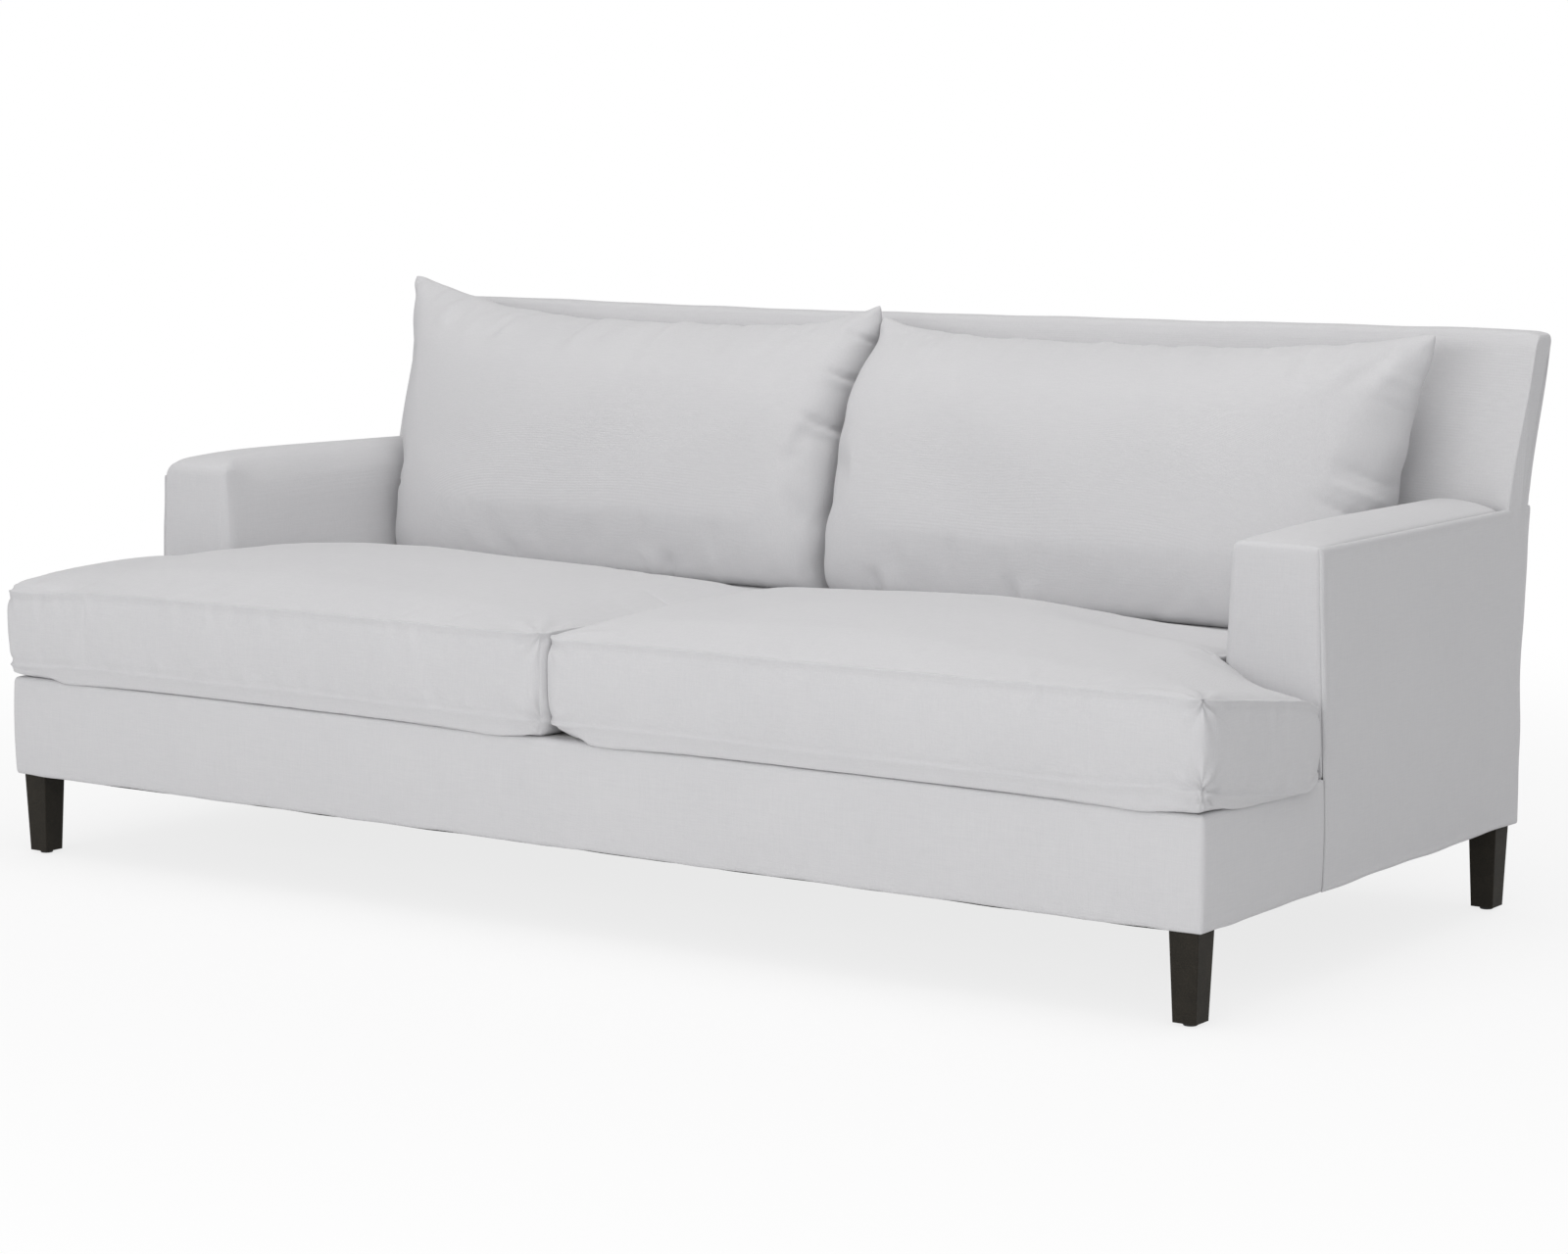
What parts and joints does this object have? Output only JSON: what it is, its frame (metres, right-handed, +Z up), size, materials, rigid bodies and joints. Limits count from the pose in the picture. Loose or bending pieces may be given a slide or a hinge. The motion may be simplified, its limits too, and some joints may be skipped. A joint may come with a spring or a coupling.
{
  "type": "outdoor sofa",
  "caption": "Upholstered outdoor sofa with low track arms, raked back, T-shaped boxed seat cushions, loose back cushions and tapered legs.",
  "frame": {"origin": "on the floor under the middle of the sofa's overall box", "axes": "+X along the sofa to the sitter's left, seen from the front to the right; the front faces -Y; +Z up"},
  "size_m": [2.1866, 1.0832, 0.8957],
  "materials": {
    "fabric_white": "matt woven outdoor fabric, off-white",
    "deck_cloth": "plain woven decking cloth, light grey",
    "foam": "open-cell foam and fibre filling, off-white",
    "webbing": "black woven webbing",
    "dust_cloth": "black dust cloth",
    "zip_tape": "white zip tape with plastic teeth",
    "zip_metal": "plain metal zip slider",
    "frame_aluminium": "powder-coated aluminium tube",
    "leg_bronze": "textured dark bronze powder coat",
    "bolt_steel": "plain steel",
    "black_nylon": "black nylon"
  },
  "bodies": {
    "frame": {"arm_cover_left": "fabric_white", "arm_cover_right": "fabric_white", "arm_pad_left": "foam", "arm_pad_right": "foam", "arm_post_left": "frame_aluminium", "arm_post_right": "frame_aluminium", "arm_rail_left": "frame_aluminium", "arm_rail_right": "frame_aluminium", "back_cover": "fabric_white", "back_mid_rails": "frame_aluminium", "back_pad": "foam", "back_post_centre": "frame_aluminium", "back_post_left": "frame_aluminium", "back_post_right": "frame_aluminium", "back_top_rail": "frame_aluminium", "back_webbing": "webbing", "base_cross_rail_left": "frame_aluminium", "base_cross_rail_right": "frame_aluminium", "base_front_band": "fabric_white", "base_front_pad": "foam", "base_front_rail": "frame_aluminium", "base_rear_rail": "frame_aluminium", "base_side_pad_left": "foam", "base_side_pad_right": "foam", "base_side_rail_left": "frame_aluminium", "base_side_rail_right": "frame_aluminium", "corner_plates": "frame_aluminium", "deck": "deck_cloth", "dust_cover": "dust_cloth", "leg_bolts": "bolt_steel", "leg_front_left": "leg_bronze", "leg_front_right": "leg_bronze", "leg_glides": "black_nylon", "leg_rear_left": "leg_bronze", "leg_rear_right": "leg_bronze", "outside_back_pad": "foam", "outside_back_panel": "fabric_white", "seat_webbing_cross": "webbing", "seat_webbing_long": "webbing", "side_panel_left": "fabric_white", "side_panel_right": "fabric_white"},
    "seat_cushion_left": {"seat_cushion_cover_left": "fabric_white", "seat_cushion_core_left": "foam", "seat_cushion_zip_tape_left": "zip_tape"},
    "back_cushion_left": {"back_cushion_cover_left": "fabric_white", "back_cushion_fill_left": "foam", "back_cushion_zip_tape_left": "zip_tape"},
    "seat_cushion_zip_slider_left": {"seat_cushion_zip_slider_left": "zip_metal"},
    "back_cushion_zip_slider_left": {"back_cushion_zip_slider_left": "zip_metal"},
    "seat_cushion_right": {"seat_cushion_cover_right": "fabric_white", "seat_cushion_core_right": "foam", "seat_cushion_zip_tape_right": "zip_tape"},
    "back_cushion_right": {"back_cushion_cover_right": "fabric_white", "back_cushion_fill_right": "foam", "back_cushion_zip_tape_right": "zip_tape"},
    "seat_cushion_zip_slider_right": {"seat_cushion_zip_slider_right": "zip_metal"},
    "back_cushion_zip_slider_right": {"back_cushion_zip_slider_right": "zip_metal"}
  },
  "joints": [
    {"name": "seat_cushion_lift_left", "type": "slide", "parent": "frame", "child": "seat_cushion_left", "axis": [0, 0, 1], "range_m": [0, 0.36]},
    {"name": "back_cushion_lift_left", "type": "slide", "parent": "seat_cushion_left", "child": "back_cushion_left", "axis": [0, 0, 1], "range_m": [0, 0.46]},
    {"name": "seat_cushion_zip_left", "type": "slide", "parent": "seat_cushion_left", "child": "seat_cushion_zip_slider_left", "axis": [-1, 0, 0], "range_m": [0, 0.56]},
    {"name": "back_cushion_zip_left", "type": "slide", "parent": "back_cushion_left", "child": "back_cushion_zip_slider_left", "axis": [-1, 0, 0], "range_m": [0, 0.56]},
    {"name": "seat_cushion_lift_right", "type": "slide", "parent": "frame", "child": "seat_cushion_right", "axis": [0, 0, 1], "range_m": [0, 0.36]},
    {"name": "back_cushion_lift_right", "type": "slide", "parent": "seat_cushion_right", "child": "back_cushion_right", "axis": [0, 0, 1], "range_m": [0, 0.46]},
    {"name": "seat_cushion_zip_right", "type": "slide", "parent": "seat_cushion_right", "child": "seat_cushion_zip_slider_right", "axis": [1, 0, 0], "range_m": [0, 0.56]},
    {"name": "back_cushion_zip_right", "type": "slide", "parent": "back_cushion_right", "child": "back_cushion_zip_slider_right", "axis": [1, 0, 0], "range_m": [0, 0.56]}
  ]
}
